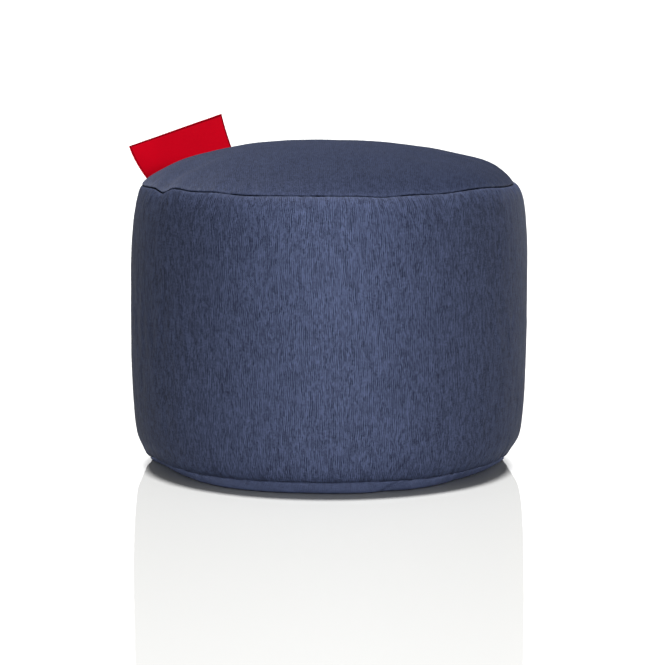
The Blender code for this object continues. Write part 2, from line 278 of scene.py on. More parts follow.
def wave_sums(azimuth, waves):
    """(out, rise) that a table of waves adds."""
    out = sum(wave[2] * bump(azimuth, wave[0], wave[3]) for wave in waves)
    rise = sum(wave[1] * bump(azimuth, wave[0], wave[3]) for wave in waves)
    return out, rise


def top_seam(azimuth):
    """(radius, height) of the top seam."""
    out, rise = wave_sums(azimuth, TOP_SEAM_WAVES)
    return TOP_SEAM_RADIUS + out, TOP_SEAM_HEIGHT + rise


def bottom_seam(azimuth):
    """(radius, height) of the bottom seam."""
    out, rise = wave_sums(azimuth, BOTTOM_SEAM_WAVES)
    forward = BOTTOM_SEAM_FORWARD * np.cos(np.radians(azimuth))
    return BOTTOM_SEAM_RADIUS + forward + out, BOTTOM_SEAM_HEIGHT + rise


def on_rings(azimuth, radius, height):
    """Points from arrays of azimuth, radius and height."""
    angle = np.radians(azimuth)
    radius, height, angle = np.broadcast_arrays(radius, height, angle)
    return np.stack([radius * np.sin(angle), -radius * np.cos(angle), height], axis=-1)


def azimuths(columns):
    """The azimuth of each column."""
    return 360.0 * np.arange(columns) / columns


# The same with the first column again at the end, for maps
AZIMUTHS_ROUND = 360.0 * np.arange(COLUMNS + 1) / COLUMNS


def lengths_along(points):
    """Distance from the first point to each point of a line."""
    steps = np.linalg.norm(np.diff(points, axis=0), axis=1)
    return np.concatenate([[0.0], np.cumsum(steps)])


def spaced(length, coarsest, fine_end=True):
    """Positions along a length, close together at its start and at a fine end."""
    dense = np.linspace(0.0, length, SPACING_STEPS)
    from_end = length - dense if fine_end else np.full_like(dense, length)
    spacing = np.minimum(FINEST_ROW + ROW_GROWTH * np.minimum(dense, from_end), coarsest)
    rows = np.concatenate([[0.0], np.cumsum(np.diff(dense) / spacing[1:])])
    return np.interp(np.linspace(0.0, rows[-1], int(round(rows[-1])) + 1), rows, dense)


def placed(name, data):
    """A new object in the scene."""
    made = bpy.data.objects.new(name, data)
    bpy.context.scene.collection.objects.link(made)
    return made


# -------- seeded unevenness


def ring_noise(seed, shortest, longest):
    """A closed line of noise round the drum, wavelengths in metres, about -1 to 1."""
    draw = np.random.default_rng(seed)
    around = 2.0 * pi * BODY_RADIUS
    modes = np.arange(int(around / longest), int(around / shortest) + 1)
    angle = np.radians(azimuths(COLUMNS))[:, None]
    phases = draw.uniform(0.0, 2.0 * pi, len(modes))
    sizes = draw.uniform(0.3, 1.0, len(modes))
    line = (sizes * np.cos(angle * modes + phases)).sum(1)
    return line / (2.0 * line.std())


def smooth_between(values, at):
    """Rows of values read smoothly at places between them, by a curve through each four neighbours."""
    first = np.clip(np.floor(at).astype(int), 0, len(values) - 4)
    part = (at - first)[:, None]
    a, b, c, d = (values[first + index] for index in range(4))
    bend = (2 * a - 5 * b + 4 * c - d) * part**2 + (3 * b - a - 3 * c + d) * part**3
    return 0.5 * (2 * b + (c - a) * part + bend)


def streak_noise(rows_at, seed, shortest, longest, height):
    """Upright streaks on the side: noise that is short round the drum and long up the cloth."""
    draw = np.random.default_rng(seed)
    steps = int(rows_at[-1] / (height * 0.5)) + 4
    around = 2.0 * pi * BODY_RADIUS
    modes = np.arange(COLUMNS // 2 + 1)
    keep = np.exp(-((around / longest / np.maximum(modes, 1e-6)) ** 4))
    keep = keep * np.exp(-((modes * shortest / around) ** 4))
    coarse = draw.normal(size=(steps, COLUMNS))
    coarse = np.fft.irfft(np.fft.rfft(coarse, axis=1) * keep, n=COLUMNS, axis=1)
    rows = smooth_between(coarse, rows_at / (height * 0.5))
    return rows / (2.0 * rows.std())


QUILT_WAVES = 24


def quilt_noise(x, y, seed, shortest, longest):
    """Soft unevenness over a flat cloth."""
    draw = np.random.default_rng(seed)
    total = np.zeros(x.shape)
    for _ in range(QUILT_WAVES):
        turn = draw.uniform(0.0, 2.0 * pi)
        number = 2.0 * pi / draw.uniform(shortest, longest)
        phase = draw.uniform(0.0, 2.0 * pi)
        total += np.cos(number * (x * np.cos(turn) + y * np.sin(turn)) + phase)
    return total / (2.0 * total.std())


# -------- cloth simulation

SIM_FRAMES = 20
SIM_PRESSURE = 4.0
SIM_GROWTH = 0.035
LONGEST_RIPPLE = 0.060
MOST_RIPPLE = 0.0022
SIM_CLOTH = {
    "quality": 5,
    "mass": 0.3,
    "tension_stiffness": 20.0,
    "compression_stiffness": 20.0,
    "shear_stiffness": 8.0,
    "bending_stiffness": 0.4,
    "vertex_group_mass": "sewn",
    "pin_stiffness": 1.0,
    "use_pressure": True,
    "uniform_pressure_force": SIM_PRESSURE,
    "shrink_min": -SIM_GROWTH,
}


def ring_faces(rings):
    """(index of each point, index of the next point round, quads) of a grid of rings."""
    index = np.arange(rings.shape[0] * rings.shape[1]).reshape(rings.shape[:2])
    beyond = np.roll(index, -1, axis=1)
    quads = np.stack([index[:-1], beyond[:-1], beyond[1:], index[1:]], axis=-1)
    return index, beyond, quads.reshape(-1, 4)


def simulated(rings):
    """The same rings after Blender's Cloth has let them grow between their first and last ring."""
    index, _, faces = ring_faces(rings)
    mesh = bpy.data.meshes.new("simulated")
    mesh.from_pydata(rings.reshape(-1, 3).tolist(), [], faces.tolist())
    cloth = placed("simulated", mesh)
    sewn = cloth.vertex_groups.new(name="sewn")
    sewn.add([int(i) for i in np.concatenate([index[0], index[-1]])], 1.0, "REPLACE")
    modifier = cloth.modifiers.new("cloth", "CLOTH")
    for key, value in SIM_CLOTH.items():
        setattr(modifier.settings, key, value)
    modifier.settings.effector_weights.gravity = 0.0
    modifier.collision_settings.use_collision = False
    modifier.collision_settings.use_self_collision = False
    scene = bpy.context.scene
    modifier.point_cache.frame_start = 1
    modifier.point_cache.frame_end = SIM_FRAMES
    for number in range(1, SIM_FRAMES + 1):
        scene.frame_set(number)
    evaluated = cloth.evaluated_get(bpy.context.evaluated_depsgraph_get())
    moved = np.empty(rings.size, np.float32)
    evaluated.data.vertices.foreach_get("co", moved)
    bpy.data.objects.remove(cloth)
    bpy.data.meshes.remove(mesh)
    scene.frame_set(1)
    return moved.reshape(rings.shape).astype(float)


def ripples(make_rings):
    """Outward ripple of each point of a cloth, (rows, COLUMNS), from a simulation of that cloth.

    The fitted form stays: only ripples shorter than LONGEST_RIPPLE are taken over, and they are capped.
    """
    still = make_rings(SIM_COLUMNS)
    moved = simulated(still)
    normal = normals_of(still)
    out = ((moved - still) * normal).sum(-1)
    spectrum = np.fft.rfft(out, axis=1)
    modes = np.arange(spectrum.shape[1])
    radius = np.linalg.norm(still[..., :2], axis=-1).mean(1)[:, None]
    wavelength = 2.0 * pi * radius / np.maximum(modes, 1e-6)
    spectrum *= np.exp(-((wavelength / LONGEST_RIPPLE) ** 4)) * (modes > 0)
    out = np.fft.irfft(spectrum, n=COLUMNS, axis=1) * (COLUMNS / SIM_COLUMNS)
    return MOST_RIPPLE * np.tanh(out / MOST_RIPPLE)


def normals_of(rings):
    """The outward normal at each point of a grid of rings."""
    around = np.roll(rings, -1, axis=1) - np.roll(rings, 1, axis=1)
    up = np.gradient(rings, axis=0)
    normal = np.cross(around, up)
    return normal / np.maximum(np.linalg.norm(normal, axis=-1, keepdims=True), 1e-12)


# -------- the three panels


def partition(edge, level):
    """Rings from the sewn edge of a panel in to the axis, where two filled panels meet out of sight."""
    rings = []
    for index, share in enumerate(PARTITION_SHARES):
        ring = edge * [share, share, 1.0]
        ring[:, 2] += (level - edge[:, 2]) * (index + 1) / len(PARTITION_SHARES)
        rings.append(ring)
    return np.array(rings)


def seam_pull(stitches, seed):
    """How hard the stitches pull a seam in at each column, about 0.1 to 1.4."""
    azimuth = azimuths(COLUMNS)
    pull = LOOSE_PULL
    for start, end, strength in stitches:
        away = (azimuth - 0.5 * (start + end) + 180.0) % 360.0 - 180.0
        half = 0.5 * (end - start)
        within = np.tanh((away + half) / STITCH_END) - np.tanh((away - half) / STITCH_END)
        pull = pull + 0.5 * strength * within
    return pull * (1.0 + UNEVEN_PULL * ring_noise(seed, 0.006, 0.020))


def seam_tuck(distance, pull):
    """How much of the groove is left at a distance from the seam; hard pulls make it wider too."""
    return pull * np.exp(-((distance / (SEAM_ROLL * (0.55 + 0.45 * pull))) ** 2))


def drawn_in(rings, distance, pull, down):
    """Rings with the groove that a seam's stitches pull in and down, from their distances to the seam."""
    return rings - seam_tuck(distance, pull)[..., None] * on_rings(azimuths(COLUMNS), GROOVE_IN, down)


def clear_of_seam(distance):
    """0 at a seam, 1 clear of its groove."""
    return np.clip(distance / CLEAR_OF_SEAM, 0.0, 1.0)


def puckers(distance, seed, size, shortest, longest, reach):
    """Relief beside a seam that fades away from it."""
    fading = size * np.exp(-((distance / reach) ** 2)) * clear_of_seam(distance)
    return fading * ring_noise(seed, shortest, longest)[None, :]


TOP_PULL = seam_pull(TOP_STITCHES, 15)
BOTTOM_PULL = seam_pull(BOTTOM_STITCHES, 16)


def band_sections():
    """Rows of the side band: distance from the bottom seam, share of the height, drop in at top and bottom."""
    below = np.sin(np.linspace(0, pi / 2, 300)) ** (2 / HEEL_POWER)
    below = np.unique(np.concatenate([below, np.linspace(0, 1, 200)]))[::-1]
    drop_bottom = HEEL_TAPER_SHARE * below**HEEL_TAPER_POWER
    drop_bottom = drop_bottom + (1 - HEEL_TAPER_SHARE) * (1 - np.sqrt(1 - below**HEEL_POWER))
    turn = np.linspace(0, pi / 2, 300)[1:]
    share = np.concatenate([
        WIDEST_SHARE * (1 - below),
        WIDEST_SHARE + (1 - WIDEST_SHARE) * np.sin(turn) ** (2 / SHOULDER_POWER),
    ])
    drop_bottom = np.concatenate([drop_bottom, np.zeros_like(turn)])
    drop_top = np.concatenate([np.zeros_like(below), 1 - np.cos(turn)])
    radius = BODY_RADIUS - (BODY_RADIUS - TOP_SEAM_RADIUS) * drop_top
    radius = radius - (BODY_RADIUS - BOTTOM_SEAM_RADIUS) * drop_bottom
    height = BOTTOM_SEAM_HEIGHT + (TOP_SEAM_HEIGHT - BOTTOM_SEAM_HEIGHT) * share
    along = lengths_along(np.stack([radius, height], axis=1))
    rows = spaced(along[-1], BAND_ROW)
    return rows, *(np.interp(rows, along, values) for values in (share, drop_top, drop_bottom))


BAND_AT, BAND_SHARE, BAND_DROP_TOP, BAND_DROP_BOTTOM = band_sections()


def band_base(columns):
    """Rings of the side band without its fine relief."""
    azimuth = azimuths(columns)[None, :]
    share, drop_top, drop_bottom = (v[:, None] for v in (BAND_SHARE, BAND_DROP_TOP, BAND_DROP_BOTTOM))
    top_radius, top_height = top_seam(azimuth)
    bottom_radius, bottom_height = bottom_seam(azimuth)
    radius = BODY_RADIUS - (BODY_RADIUS - top_radius) * drop_top
    radius = radius - (BODY_RADIUS - bottom_radius) * drop_bottom
    hollows = sum(
        depth * bump(azimuth, centre, half_width) * np.exp(-(((share - level) / half_height) ** 2))
        for centre, level, depth, half_width, half_height in SIDE_HOLLOWS
    )
    radius = radius - hollows * (1 - np.maximum(drop_top, drop_bottom) ** HOLLOW_FADE_POWER)
    height = bottom_height + (top_height - bottom_height) * share
    return on_rings(azimuth, radius, height)


def band_rings():
    """Rings of the side band with its ripples, streaks and sewn edges."""
    rings = band_base(COLUMNS)
    from_bottom = BAND_AT[:, None]
    from_top = BAND_AT[-1] - from_bottom
    clear = clear_of_seam(np.minimum(from_top, from_bottom))
    relief = BAND_RIPPLES * ripples(band_base)
    for seed, size, *lengths in BAND_STREAKS:
        relief = relief + size * streak_noise(BAND_AT, seed, *lengths) * clear
    relief = relief + puckers(from_top, *BAND_TOP_PUCKERS) + puckers(from_bottom, *BAND_BOTTOM_PUCKERS)
    rings = rings + normals_of(rings) * relief[..., None]
    rings = drawn_in(rings, from_top, TOP_PULL, GROOVE_DOWN)
    return drawn_in(rings, from_bottom, BOTTOM_PULL, 0.0)


def crown_sections():
    """Rows of the crown from its seam inwards: distance from the seam, shares of radius and rise."""
    turn = np.unique(np.concatenate([np.linspace(0, 1, 400) ** 2.5, np.linspace(0, 1, 200)])) * pi / 2
    radius_share = np.cos(turn[:-1]) ** (2 / CROWN_POWER)
    height_share = np.sin(turn[:-1]) ** (2 * CROWN_FULLNESS)
    section = np.stack([TOP_SEAM_RADIUS * radius_share, CROWN_RISE * height_share], axis=1)
    along = lengths_along(section)
    rows = spaced(along[-1] - 0.004, CROWN_ROW, fine_end=False)
    return rows, np.interp(rows, along, radius_share), np.interp(rows, along, height_share)


CROWN_AT, CROWN_RADIUS_SHARE, CROWN_HEIGHT_SHARE = crown_sections()


def crown_dents(x, y):
    """How far the dents lower the crown."""
    return sum(
        depth * np.exp(-((x - at_x) ** 2 + (y - at_y) ** 2) / half_width**2)
        for at_x, at_y, depth, half_width in CROWN_DENTS
    )


def crown_base(columns):
    """Rings of the crown without its fine relief, from the seam inwards."""
    azimuth = azimuths(columns)[None, :]
    radius_share, height_share = CROWN_RADIUS_SHARE[:, None], CROWN_HEIGHT_SHARE[:, None]
    follow = radius_share**SEAM_WAVE_REACH_POWER
    seam_radius, seam_height = top_seam(azimuth)
    height = TOP_SEAM_HEIGHT + (seam_height - TOP_SEAM_HEIGHT) * follow + CROWN_RISE * height_share
    radius = TOP_SEAM_RADIUS * radius_share + (seam_radius - TOP_SEAM_RADIUS) * follow
    rings = on_rings(azimuth, radius, height)
    rings[..., 2] -= crown_dents(rings[..., 0], rings[..., 1]) * (1 - follow**DENT_FADE_POWER)
    return rings


def crown_rings():
    """Rings of the crown with its ripples and sewn edge, from the seam inwards."""
    rings = crown_base(COLUMNS)
    from_seam = CROWN_AT[:, None]
    near_seam = np.exp(-((from_seam / CROWN_SEAM_REACH) ** 2))
    relief = ripples(crown_base) * (CROWN_RIPPLES + CROWN_SEAM_RIPPLES * near_seam)
    seed, size, *lengths = CROWN_QUILT
    quilt = quilt_noise(rings[..., 0], rings[..., 1], seed, *lengths)
    relief = relief + size * quilt * clear_of_seam(from_seam) + puckers(from_seam, *CROWN_PUCKERS)
    ridge = (from_seam / CROWN_RIDGE_AT) * np.exp(1 - from_seam / CROWN_RIDGE_AT)
    relief = relief + CROWN_RIDGE * (0.5 + 0.5 * TOP_PULL) * ridge
    rings = rings + normals_of(rings) * relief[..., None]
    rings = drawn_in(rings, from_seam, TOP_PULL, GROOVE_DOWN)
    rings[..., 2] += SEAM_GAP * np.exp(-from_seam / CROWN_LIFT_REACH)
    return rings


def foot_sections():
    """Rows of the bottom panel's rim, from the seam down: share of the way and FOOT_SECTION's columns."""
    table = np.array(FOOT_SECTION)
    table = np.concatenate([2 * table[:1] - table[1:2], table, 2 * table[-1:] - table[-2:-1]])
    at = np.linspace(0.0, len(FOOT_SECTION) - 1.0, FOOT_ROWS)
    return at[:, None] / at[-1], *np.split(smooth_between(table, at), 4, axis=1)


def foot_rings():
    """Rings of the bottom panel's rim, from the seam down to the floor."""
    azimuth = azimuths(COLUMNS)[None, :]
    depth, toward, out, share, puckered = foot_sections()
    seam_radius, seam_height = bottom_seam(azimuth)
    wave_out, wave_rise = wave_sums(azimuth, FOOT_WAVES)
    puff = sum(more * bump(azimuth, centre, half_width) for centre, more, half_width in FOOT_PUFFS)
    foot_radius = FOOT_RADIUS + FOOT_FORWARD * np.cos(np.radians(azimuth)) + wave_out + puff
    radius = seam_radius + (foot_radius - seam_radius) * toward + out
    height = np.maximum(seam_height * share + wave_rise * puckered, 0.0)
    swell = 4.0 * depth * (1.0 - depth)
    seed, size, *lengths = FOOT_UNEVEN
    radius = radius + size * ring_noise(seed, *lengths)[None, :] * swell
    for centre, lean, inward, half_width in FOOT_FOLDS:
        radius = radius - inward * bump(azimuth, centre + lean * depth, half_width) * swell
    distance = depth * seam_height
    radius = radius - GROOVE_IN * seam_tuck(distance, BOTTOM_PULL)
    height = height - SEAM_GAP * (1.0 - depth)
    return on_rings(azimuth, radius, height)


# -------- meshes


def ring_corners(grid):
    """Corner values of the quads of a grid of values, (quads, 4, ...)."""
    corners = np.stack([grid[:-1, :-1], grid[:-1, 1:], grid[1:, 1:], grid[1:, :-1]], axis=2)
    return corners.reshape(-1, 4, *grid.shape[2:])


def set_map(mesh, name, parts):
    """A UV map of a mesh from corner values of its faces, in their order."""
    corners = np.concatenate([part.reshape(-1, 2) for part in parts])
    mesh.uv_layers.new(name=name).uv.foreach_set("vector", corners.astype(np.float32).ravel())


def cloth_parts(cloth_map):
    """Corner values of a map of the cloth: quads, low fan, high fan."""
    columns = cloth_map.shape[1] - 1
    low_middle = np.broadcast_to(cloth_map[0].mean(0), (columns, 2))
    high_middle = np.broadcast_to(cloth_map[-1].mean(0), (columns, 2))
    low = np.stack([low_middle, cloth_map[0, 1:], cloth_map[0, :-1]], axis=1)
    high = np.stack([cloth_map[-1, :-1], cloth_map[-1, 1:], high_middle], axis=1)
    return ring_corners(cloth_map), low, high


def bake_parts(rings, hidden):
    """Corner values of a map without overlaps: four quarters round the drum, each a strip with its fans.

    The quarters meet at azimuths 45, 135, -135 and -45. Rows that never show get little room.
    """
    steps = np.linalg.norm(np.diff(rings, axis=0), axis=-1).mean(1)
    steps = np.where(hidden[1:] | hidden[:-1], BAKE_HIDDEN * steps, steps) + 1e-5
    up = np.concatenate([[0.0], np.cumsum(steps)])
    up = BAKE_MARGIN + BAKE_FAN + (0.5 - 2 * BAKE_MARGIN - 2 * BAKE_FAN) * up / up[-1]
    quarter = COLUMNS // 4
    column = np.arange(COLUMNS)
    place = (column + quarter // 2) % COLUMNS
    corner = 0.5 * np.stack([place // quarter % 2, place // quarter // 2], axis=-1)
    wide = (0.5 - 2 * BAKE_MARGIN) / quarter
    left = corner[:, 0] + BAKE_MARGIN + wide * (place % quarter)
    right = left + wide

    def corners(values):
        return np.stack([np.stack([u, corner[:, 1] + v], axis=-1) for u, v in values], axis=-2)

    quads = [
        corners(((left, low), (right, low), (right, high), (left, high)))
        for low, high in zip(up[:-1], up[1:])
    ]
    middle = 0.5 * (left + right)
    low = corners(((middle, up[0] - BAKE_FAN), (right, up[0]), (left, up[0])))
    high = corners(((left, up[-1]), (right, up[-1]), (middle, up[-1] + BAKE_FAN)))
    return np.concatenate(quads), low, high


def add_piece(name, rings, ends, cloth_map, hidden, marks, material):
    """A closed smooth piece from rings and the heights of its two middle points.

    It gets a map of the cloth in metres, a map without overlaps, and the marks of wear and of painted groove
    shade for the rings that aren't hidden.
    """
    points = np.concatenate([rings.reshape(-1, 3), [[0.0, 0.0, ends[0]], [0.0, 0.0, ends[1]]]])
    index, beyond, quads = ring_faces(rings)
    low_fan = np.stack([np.full(COLUMNS, index.size), beyond[0], index[0]], axis=-1)
    high_fan = np.stack([index[-1], beyond[-1], np.full(COLUMNS, index.size + 1)], axis=-1)
    mesh = bpy.data.meshes.new(name)
    mesh.from_pydata(points.tolist(), [], quads.tolist() + low_fan.tolist() + high_fan.tolist())
    set_map(mesh, "cloth", cloth_parts(cloth_map))
    set_map(mesh, "OFBake", bake_parts(rings, hidden))
    # The second mark is painted shade down in the seams' grooves
    for key, shown in zip(("wear", "groove_shade"), marks):
        values = np.zeros(rings.shape[:2])
        values[~hidden] = shown
        values = np.concatenate([values.ravel(), [0.0, 0.0]]).astype(np.float32)
        mesh.attributes.new(key, "FLOAT", "POINT").data.foreach_set("value", values)
    mesh.materials.append(material)
    mesh.shade_smooth()
    mesh.validate()
    return placed(name, mesh)


def disc_map(rings):
    """A map of the cloth for a panel that is cut flat, from rings that run outwards from its middle."""
    steps = np.linalg.norm(np.diff(rings, axis=0), axis=-1).mean(1)
    distance = np.linalg.norm(rings[0, :, :2], axis=-1).mean() + np.concatenate([[0.0], np.cumsum(steps)])
    return on_rings(AZIMUTHS_ROUND[None, :], distance[:, None], 0.0)[..., :2]


def worn_near(distance, reach, seed):
    """Wear that lies on the ridge beside a seam, uneven round the drum."""
    uneven = 0.6 + 0.4 * ring_noise(seed, 0.010, 0.060)[None, :]
    return np.clip(uneven, 0.0, 1.0) * np.exp(-(((distance[:, None] - reach) / reach) ** 2))


def painted_groove_shade(distance, pull, reach):
    """Painted shade down in a seam's groove, where its stitches pull hard."""
    return np.clip(GROOVE_SHADE_DEPTH * pull**2 * np.exp(-((distance[:, None] / reach) ** 2)), 0.0, 1.0)


def band_map(rings):
    """A map of the cloth for the side band: metres round the drum and metres up the cloth."""
    azimuth = AZIMUTHS_ROUND[None, :]
    from_top = (BAND_AT[-1] - BAND_AT)[:, None]
    pull = sum(shift * bump(azimuth, centre, half_width) for centre, shift, half_width in THREAD_PULLS)
    around = np.radians(azimuth) * BODY_RADIUS + pull * np.exp(-from_top / THREAD_PULL_REACH)
    up = np.broadcast_to(BAND_AT[:, None], around.shape)
    return np.stack([around, up], axis=-1)


# -------- finishes

CANVAS_DARK = (0.0058, 0.0078, 0.0183, 1.0)
CANVAS_LIGHT = (0.0385, 0.0495, 0.0960, 1.0)
# Colour of the painted shade down in the seams' grooves
CANVAS_GROOVE_SHADE = (0.0015, 0.0020, 0.0045, 1.0)
LABEL_RED = (0.640, 0.0006, 0.0120, 1.0)
LABEL_DEEP = (0.540, 0.0005, 0.0100, 1.0)
LABEL_EDGE_RED = (0.110, 0.0003, 0.0040, 1.0)
LABEL_GLOSS = {"Specular IOR Level": 0.03}
CANVAS_GLOSS = {
    "Specular IOR Level": 0.08,
    "Sheen Weight": 0.003,
    "Sheen Roughness": 0.40,
    "Sheen Tint": (0.62, 0.68, 0.85, 1.0),
}
FLOOR_WHITE = (0.90, 0.90, 0.885, 1.0)
FLOOR_IOR = 1.45
POLISH = (1.0, 0.88, 0.52, 1.0)

CANVAS_PITCH = 0.0012
TAPE_PITCH = 0.0006

# Threads that one tone of yarn crosses, and a number that keeps weft threads apart from warp threads
WARP_STRETCH = 5.0
WEFT_STRETCH = 9.0
TAPE_STRETCH = 11.0
WEFT_NUMBERS = 5000.0

# Scales of noise over the cloth, round and up it
WOBBLE_SCALE = 48.0
WOBBLE = (0.0050, 0.0030, 0.0)
PATCHES = (70.0, 45.0, 1.0)
FINE_BANDS = (300.0, 80.0, 1.0)
WIDE_BANDS = (150.0, 20.0, 1.0)
FADING = (11.0, 9.0, 1.0)
TAPE_FADING = (28.0, 40.0, 1.0)

# How far each unevenness moves the canvas from its middle tone towards dark or light
CHECK_TONE = 0.48
RIB_TONE = 0.34
WEAR_TONE = 0.12
WARP_TONE = 0.56
CROSSING_TONE = 0.44
WEFT_TONE = 0.12
FINE_BAND_TONE = 0.06
WIDE_BAND_TONE = 0.32
FADE_TONE = 0.06


def add_node(tree, kind, inputs=None, **settings):
    """A shader node with its settings and inputs; an input is a value or another node's output."""
    made = tree.nodes.new("ShaderNode" + kind)
    for key, value in settings.items():
        setattr(made, key, value)
    for key, value in (inputs or {}).items():
        if isinstance(value, bpy.types.NodeSocket):
            tree.links.new(value, made.inputs[key])
        else:
            made.inputs[key].default_value = value
    return made


def calc(tree, operation, *values):
    """The output of a math node."""
    return add_node(tree, "Math", dict(enumerate(values)), operation=operation).outputs[0]


def stretched(tree, vector, scale):
    """A vector scaled along each axis."""
    return add_node(tree, "VectorMath", {0: vector, 1: scale}, operation="MULTIPLY").outputs[0]


def noise(tree, vector, scale, detail):
    """Noise over a vector, with a scale along each axis."""
    inputs = {"Vector": stretched(tree, vector, scale), "Scale": 1.0, "Detail": detail}
    return add_node(tree, "TexNoise", inputs).outputs["Fac"]


def new_material(name):
    """(material, tree, shader) with an empty shader setup."""
    material = bpy.data.materials.new(name)
    material.use_nodes = True
    tree = material.node_tree
    return material, tree, tree.nodes["Principled BSDF"]


def weave(tree, across, along):
    """(height, warp on top, warp number, weft number) of a plain weave, from counts of threads."""
    warp, weft = calc(tree, "FLOOR", across), calc(tree, "FLOOR", along)
    on_top = calc(tree, "PINGPONG", calc(tree, "ADD", warp, weft), 1.0)
    over = calc(tree, "SINE", calc(tree, "MULTIPLY", calc(tree, "FRACT", across), pi))
    under = calc(tree, "SINE", calc(tree, "MULTIPLY", calc(tree, "FRACT", along), pi))
    over = calc(tree, "MULTIPLY", over, on_top)
    height = calc(tree, "MULTIPLY_ADD", under, calc(tree, "SUBTRACT", 1.0, on_top), over)
    return height, on_top, warp, weft


def cell_noise(tree, x, y):
    """One random value for each cell that two whole numbers name."""
    cell = add_node(tree, "CombineXYZ", {0: x, 1: y}).outputs[0]
    return add_node(tree, "TexWhiteNoise", {"Vector": cell}, noise_dimensions="2D").outputs["Value"]


def yarn(tree, thread, along, length):
    """Uneven yarn: one tone for each stretch of a thread, the stretches staggered from thread to thread."""
    start = add_node(tree, "TexWhiteNoise", {"W": thread}, noise_dimensions="1D").outputs["Value"]
    stretch = calc(tree, "MULTIPLY_ADD", start, 7.0, calc(tree, "DIVIDE", along, length))
    return cell_noise(tree, thread, calc(tree, "FLOOR", stretch))


def marked(tree, tone, dark, light, mark, marked_color):
    """A colour between dark and light by a tone, with another colour where the mesh carries a mark."""
    tone = add_node(tree, "Clamp", {"Value": tone}).outputs[0]
    color = add_node(tree, "Mix", {"Factor": tone, "A": dark, "B": light}, data_type="RGBA")
    share = add_node(tree, "Attribute", attribute_name=mark).outputs["Fac"]
    inputs = {"Factor": share, "A": color.outputs["Result"], "B": marked_color}
    return add_node(tree, "Mix", inputs, data_type="RGBA").outputs["Result"]


def finish_cloth(tree, shader, color, relief, strength, depth, roughness, gloss):
    """Colour, bump, roughness and gloss of a cloth."""
    tree.links.new(color, shader.inputs["Base Color"])
    raised = add_node(tree, "Bump", {"Height": relief, "Strength": strength, "Distance": depth})
    tree.links.new(raised.outputs["Normal"], shader.inputs["Normal"])
    tree.links.new(roughness, shader.inputs["Roughness"])
    for key, value in gloss.items():
        shader.inputs[key].default_value = value


def thread_counts(tree, place, pitch):
    """(threads across, threads along) at a place on the cloth."""
    parts = add_node(tree, "SeparateXYZ", {0: place}).outputs
    return calc(tree, "DIVIDE", parts[0], pitch), calc(tree, "DIVIDE", parts[1], pitch)


def canvas(name, streaks, grain):
    """Navy canvas: weave of uneven yarn, soft bands, fading, worn ridges and painted shade down in the seams'
    grooves.

    streaks and grain say how strongly the upright bands and the weave show.
    """
    material, tree, shader = new_material(name)
    place = add_node(tree, "UVMap", uv_map="cloth").outputs["UV"]
    inputs = {"Vector": place, "Scale": WOBBLE_SCALE, "Detail": 1.0}
    wobble = add_node(tree, "TexNoise", inputs).outputs["Color"]
    wobble = add_node(tree, "VectorMath", {0: wobble, 1: (0.5, 0.5, 0.5)}, operation="SUBTRACT").outputs[0]
    wobble = stretched(tree, wobble, WOBBLE)
    place = add_node(tree, "VectorMath", {0: place, 1: wobble}, operation="ADD").outputs[0]
    across, along = thread_counts(tree, place, CANVAS_PITCH)
    height, on_top, warp, weft = weave(tree, across, along)
    patch = calc(tree, "MULTIPLY_ADD", noise(tree, place, PATCHES, 1.0), 3.0, -1.0)
    checks = calc(tree, "MULTIPLY", calc(tree, "SUBTRACT", on_top, 0.5), patch)
    ribs = calc(tree, "SUBTRACT", calc(tree, "PINGPONG", warp, 1.0), 0.5)
    warp_yarn = yarn(tree, warp, along, WARP_STRETCH)
    crossing = cell_noise(tree, warp, weft)
    weft_yarn = yarn(tree, calc(tree, "ADD", weft, WEFT_NUMBERS), across, WEFT_STRETCH)
    fine_bands = noise(tree, place, FINE_BANDS, 1.0)
    wide_bands = noise(tree, place, WIDE_BANDS, 1.0)
    fading = noise(tree, place, FADING, 2.0)
    wear = add_node(tree, "Attribute", attribute_name="wear").outputs["Fac"]
    tone = calc(tree, "MULTIPLY_ADD", checks, CHECK_TONE * grain, 0.5)
    tone = calc(tree, "MULTIPLY_ADD", ribs, RIB_TONE * streaks, tone)
    tone = calc(tree, "MULTIPLY_ADD", wear, WEAR_TONE, tone)
    for value, share in (
        (warp_yarn, WARP_TONE * streaks),
        (crossing, CROSSING_TONE * grain),
        (weft_yarn, WEFT_TONE),
        (fine_bands, FINE_BAND_TONE * streaks),
        (wide_bands, WIDE_BAND_TONE * streaks),
        (fading, FADE_TONE),
    ):
        tone = calc(tree, "MULTIPLY_ADD", calc(tree, "SUBTRACT", value, 0.5), share, tone)
    # Painted shade: the tone gives way to a near-black navy down in the seams' grooves
    color = marked(tree, tone, CANVAS_DARK, CANVAS_LIGHT, "groove_shade", CANVAS_GROOVE_SHADE)
    relief = calc(tree, "MULTIPLY", height, 0.5)
    for value, share in ((crossing, 0.10), (fine_bands, 0.20 * streaks), (weft_yarn, 0.10)):
        relief = calc(tree, "MULTIPLY_ADD", value, share, relief)
    roughness = calc(tree, "MULTIPLY_ADD", crossing, 0.12, 0.66)
    roughness = calc(tree, "MULTIPLY_ADD", wear, -0.08, roughness)
    finish_cloth(tree, shader, color, relief, 0.40, 0.0004, roughness, CANVAS_GLOSS)
    return material


